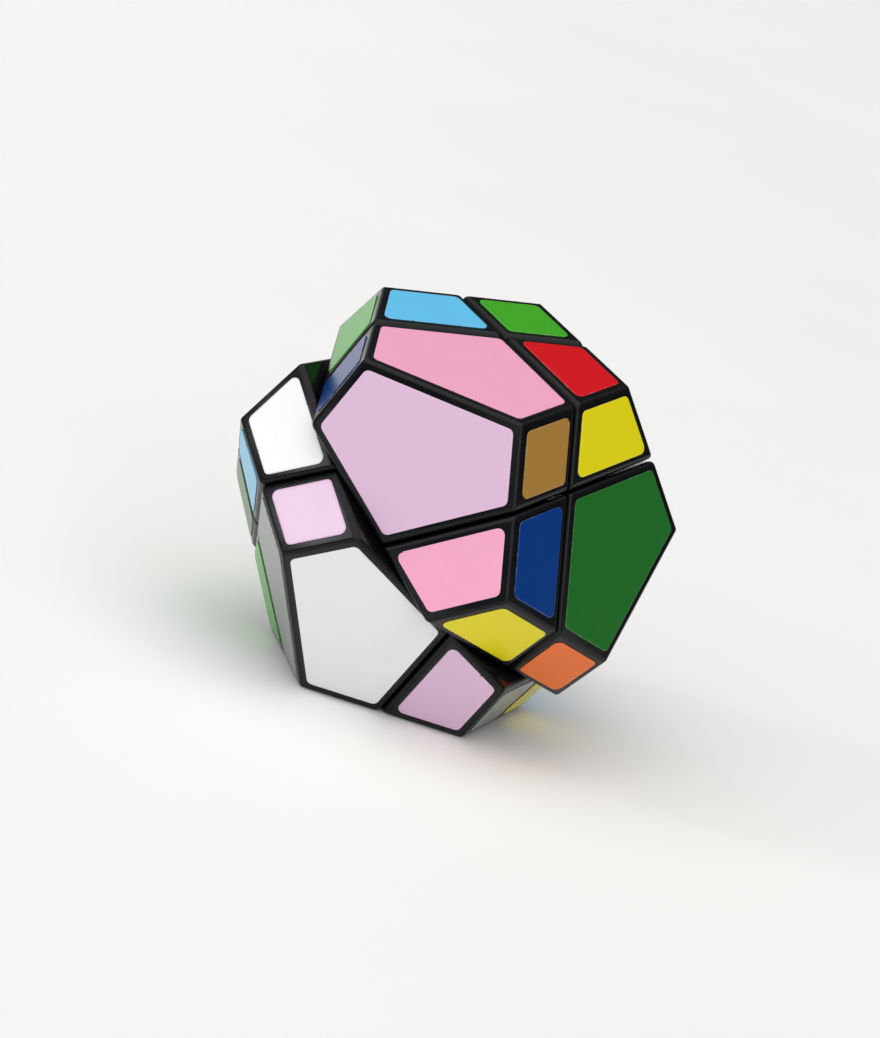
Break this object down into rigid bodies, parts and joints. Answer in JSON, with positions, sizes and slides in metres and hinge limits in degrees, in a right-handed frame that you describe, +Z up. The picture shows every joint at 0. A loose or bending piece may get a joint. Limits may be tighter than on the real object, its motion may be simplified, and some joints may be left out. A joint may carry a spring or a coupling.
{
  "type": "twisty puzzle",
  "caption": "Dodecahedral twisty puzzle with coloured vinyl stickers, cut through its centre, one half part way through a turn on a sprung screw.",
  "frame": {"origin": "centre of the face that the standing half rests on, at the outer surface of its sticker", "axes": "+Z up; -Y towards the front, where the turning half's large mauve and the standing half's large white stickers show"},
  "size_m": [0.09, 0.0905, 0.0816],
  "materials": {
    "black_plastic": "satin",
    "inner_plastic": "matte",
    "screw_steel": "brushed",
    "spring_steel": "bright drawn wire",
    "white_vinyl": "satin vinyl",
    "yellow_vinyl": "satin vinyl",
    "red_vinyl": "satin vinyl",
    "navy_vinyl": "satin vinyl",
    "forest_vinyl": "satin vinyl",
    "mauve_vinyl": "satin vinyl",
    "pink_vinyl": "satin vinyl",
    "orange_vinyl": "satin vinyl",
    "green_vinyl": "satin vinyl",
    "sky_vinyl": "satin vinyl",
    "tan_vinyl": "satin vinyl",
    "grey_vinyl": "satin vinyl"
  },
  "bodies": {
    "standing_half": {"standing_pole_shell": "black_plastic", "standing_left_shell": "black_plastic", "standing_right_shell": "black_plastic", "standing_back_shell": "black_plastic", "standing_front_edge_shell": "black_plastic", "standing_rear_edge_shell": "black_plastic", "standing_base_edge_shell": "black_plastic", "standing_pole_foot": "inner_plastic", "standing_left_foot": "inner_plastic", "standing_right_foot": "inner_plastic", "standing_back_foot": "inner_plastic", "standing_front_edge_foot": "inner_plastic", "standing_rear_edge_foot": "inner_plastic", "standing_base_edge_foot": "inner_plastic", "core": "inner_plastic", "screws": "screw_steel", "washers": "screw_steel", "standing_springs": "spring_steel", "standing_white": "white_vinyl", "standing_yellow": "yellow_vinyl", "standing_red": "red_vinyl", "standing_navy": "navy_vinyl", "standing_forest": "forest_vinyl", "standing_mauve": "mauve_vinyl", "standing_pink": "pink_vinyl", "standing_orange": "orange_vinyl", "standing_green": "green_vinyl", "standing_sky": "sky_vinyl", "standing_tan": "tan_vinyl", "standing_grey": "grey_vinyl"},
    "axis_spring": {"turning_spring": "spring_steel"},
    "turning_half": {"turning_axis_shell": "black_plastic", "turning_right_shell": "black_plastic", "turning_left_shell": "black_plastic", "turning_front_shell": "black_plastic", "turning_rear_edge_shell": "black_plastic", "turning_right_edge_shell": "black_plastic", "turning_front_edge_shell": "black_plastic", "turning_axis_foot": "inner_plastic", "turning_right_foot": "inner_plastic", "turning_left_foot": "inner_plastic", "turning_front_foot": "inner_plastic", "turning_rear_edge_foot": "inner_plastic", "turning_right_edge_foot": "inner_plastic", "turning_front_edge_foot": "inner_plastic", "turning_white": "white_vinyl", "turning_yellow": "yellow_vinyl", "turning_red": "red_vinyl", "turning_navy": "navy_vinyl", "turning_forest": "forest_vinyl", "turning_mauve": "mauve_vinyl", "turning_pink": "pink_vinyl", "turning_orange": "orange_vinyl", "turning_green": "green_vinyl", "turning_sky": "sky_vinyl", "turning_tan": "tan_vinyl"}
  },
  "joints": [
    {"name": "half_turn", "type": "hinge", "parent": "standing_half", "child": "axis_spring", "pos_m": [0, 0, 0.0377], "axis": [0.5774, -0.1876, 0.7947], "continuous": true},
    {"name": "half_lift", "type": "slide", "parent": "axis_spring", "child": "turning_half", "axis": [0.5774, -0.1876, 0.7947], "range_m": [0, 0.0015], "stiffness_N_per_m": 1000, "springref_m": -0.005, "deforming": ["turning_spring"]}
  ]
}
